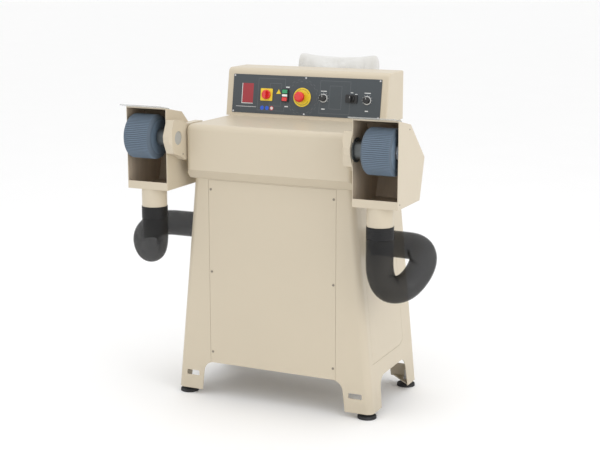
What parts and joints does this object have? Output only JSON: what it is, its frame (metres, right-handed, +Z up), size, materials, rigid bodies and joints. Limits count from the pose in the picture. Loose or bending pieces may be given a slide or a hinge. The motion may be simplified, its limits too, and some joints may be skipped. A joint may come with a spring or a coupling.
{
  "type": "drum sander",
  "caption": "Free-standing twin-end drum sander: sheet-metal cabinet, two powered fluted drums under dust hoods, tilted control console, hoses and a filter bag",
  "frame": {"origin": "on the floor, in the middle of the machine's footprint", "axes": "+X to the operator's right along the drum axis, +Y away from the operator, +Z up"},
  "size_m": [1.2272, 0.88, 1.275],
  "materials": {
    "cream_paint": "smooth powder coat, cream",
    "steel": "turned and zinc plated",
    "dark_metal": "satin dark grey enamel",
    "duct_metal": "galvanised duct",
    "drum_sleeve": "fluted blue-grey sleeve",
    "drum_hub": "machined face, blue-grey",
    "panel_sheet": "dark blue-grey control plate",
    "black_plastic": "black moulded plastic",
    "red_plastic": "red moulded plastic",
    "green_plastic": "green moulded plastic",
    "lamp": "white lamp lens",
    "yellow_plate": "yellow plate",
    "light_ring": "light dial ring",
    "grey_plug": "grey plug",
    "clear_visor": "clear polycarbonate",
    "black_rubber": "black rubber",
    "hose_plastic": "flexible dark grey hose",
    "bag_cloth": "white needle felt"
  },
  "bodies": {
    "frame": {"cabinet_shell": "cream_paint", "front_panel": "cream_paint", "rear_panel": "cream_paint", "right_side_panel": "cream_paint", "left_side_panel": "cream_paint", "head_casing": "cream_paint", "console_housing": "cream_paint", "right_arm_housing": "cream_paint", "left_arm_housing": "cream_paint", "right_hood": "cream_paint", "left_hood": "cream_paint", "housing_screws": "steel", "foot_plates": "steel", "foot_fasteners": "steel", "spindle_bearings": "steel", "control_plate_screws": "steel", "bag_strap": "steel", "suction_duct": "steel", "fan_housing": "steel", "bearing_noses": "dark_metal", "drive_motors": "dark_metal", "fan_motor": "dark_metal", "hose_inlets": "dark_metal", "outlet_duct": "duct_metal", "control_plate": "panel_sheet", "selector_bezel": "black_plastic", "speed_drives": "black_plastic", "cable_gland": "black_plastic", "pushbutton_bezel": "black_plastic", "indicator_lens": "lamp", "emergency_disc": "yellow_plate", "main_switch_plate": "yellow_plate", "speed_rings": "light_ring", "arm_plugs": "grey_plug", "visors": "clear_visor", "levelling_feet": "black_rubber", "drive_belts": "black_rubber", "right_hose": "hose_plastic", "left_hose": "hose_plastic", "filter_bag": "bag_cloth"},
    "right_drum": {"right_spindle": "steel", "right_spindle_pulley": "drum_hub", "right_drum_hub": "drum_hub", "right_drum_sleeve": "drum_sleeve", "right_drum_nut": "steel"},
    "left_drum": {"left_spindle": "steel", "left_spindle_pulley": "drum_hub", "left_drum_hub": "drum_hub", "left_drum_sleeve": "drum_sleeve", "left_drum_nut": "steel"},
    "right_motor_rotor": {"right_motor_pulley": "drum_hub"},
    "left_motor_rotor": {"left_motor_pulley": "drum_hub"},
    "fan_rotor": {"fan_impeller": "steel"},
    "main_switch": {"main_switch_knob": "red_plastic"},
    "selector": {"selector_knob": "black_plastic"},
    "left_speed": {"left_speed_knob": "black_plastic"},
    "right_speed": {"right_speed_knob": "black_plastic"},
    "start": {"start_button": "green_plastic"},
    "stop": {"stop_button": "red_plastic"},
    "emergency": {"emergency_button": "red_plastic"}
  },
  "joints": [
    {"name": "right_drum_spin", "type": "hinge", "parent": "frame", "child": "right_drum", "pos_m": [0.466, -0.358, 1.005], "axis": [1, 0, 0], "continuous": true},
    {"name": "left_drum_spin", "type": "hinge", "parent": "frame", "child": "left_drum", "pos_m": [-0.466, -0.358, 1.005], "axis": [1, 0, 0], "continuous": true},
    {"name": "right_motor_spin", "type": "hinge", "parent": "frame", "child": "right_motor_rotor", "pos_m": [0.35, -0.228, 0.97], "axis": [1, 0, 0], "continuous": true},
    {"name": "left_motor_spin", "type": "hinge", "parent": "frame", "child": "left_motor_rotor", "pos_m": [-0.35, -0.228, 0.97], "axis": [1, 0, 0], "continuous": true},
    {"name": "fan_spin", "type": "hinge", "parent": "frame", "child": "fan_rotor", "pos_m": [-0.093, -0.028, 0.43], "axis": [0, 0, 1], "continuous": true},
    {"name": "main_switch_turn", "type": "hinge", "parent": "frame", "child": "main_switch", "pos_m": [-0.162, 0.02128, 1.13574], "axis": [0, -0.9874, 0.1585], "range_deg": [-90, 0]},
    {"name": "selector_turn", "type": "hinge", "parent": "frame", "child": "selector", "pos_m": [0.191, 0.02112, 1.13475], "axis": [0, -0.9874, 0.1585], "range_deg": [-45, 45]},
    {"name": "left_speed_turn", "type": "hinge", "parent": "frame", "child": "left_speed", "pos_m": [0.076, 0.0208, 1.13277], "axis": [0, -0.9874, 0.1585], "range_deg": [-135, 135]},
    {"name": "right_speed_turn", "type": "hinge", "parent": "frame", "child": "right_speed", "pos_m": [0.253, 0.02064, 1.13179], "axis": [0, -0.9874, 0.1585], "range_deg": [-135, 135]},
    {"name": "start_press", "type": "slide", "parent": "frame", "child": "start", "axis": [0, 0.9874, -0.1585], "range_m": [0, 0.003], "stiffness_N_per_m": 400},
    {"name": "stop_press", "type": "slide", "parent": "frame", "child": "stop", "axis": [0, 0.9874, -0.1585], "range_m": [0, 0.003], "stiffness_N_per_m": 400},
    {"name": "emergency_press", "type": "slide", "parent": "frame", "child": "emergency", "axis": [0, 0.9874, -0.1585], "range_m": [0, 0.006]}
  ],
  "couplings": [
    {"joint": "right_drum_spin", "follows": "right_motor_spin", "ratio": 1},
    {"joint": "left_drum_spin", "follows": "left_motor_spin", "ratio": 1}
  ]
}
